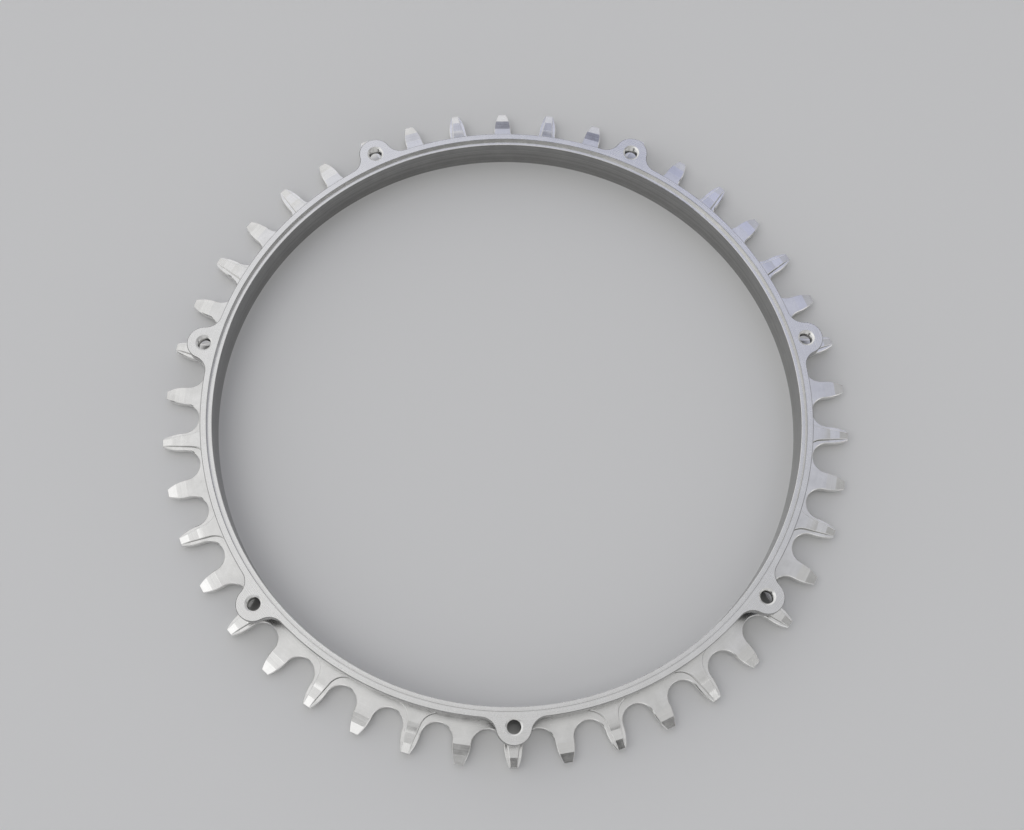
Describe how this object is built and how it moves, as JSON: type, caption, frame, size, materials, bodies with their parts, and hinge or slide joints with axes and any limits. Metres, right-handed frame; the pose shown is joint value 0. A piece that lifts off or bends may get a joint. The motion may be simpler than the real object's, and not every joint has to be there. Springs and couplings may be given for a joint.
{
  "type": "bicycle chainring",
  "caption": "Bare machined ring with alternating narrow and wide chain teeth round its lower edge and small tapped lugs standing out from the top of its tall rim",
  "frame": {"origin": "middle of the ring, on the flat back face that it lies on", "axes": "+Z is the ring's axis, up from the back face to the lugs; -Y points at the wide tooth and lug at the front; X runs across"},
  "size_m": [0.18, 0.1802, 0.0111],
  "materials": {
    "machined_aluminium": "satin, as machined"
  },
  "bodies": {
    "root": {"chainring": "machined_aluminium"}
  },
  "joints": []
}
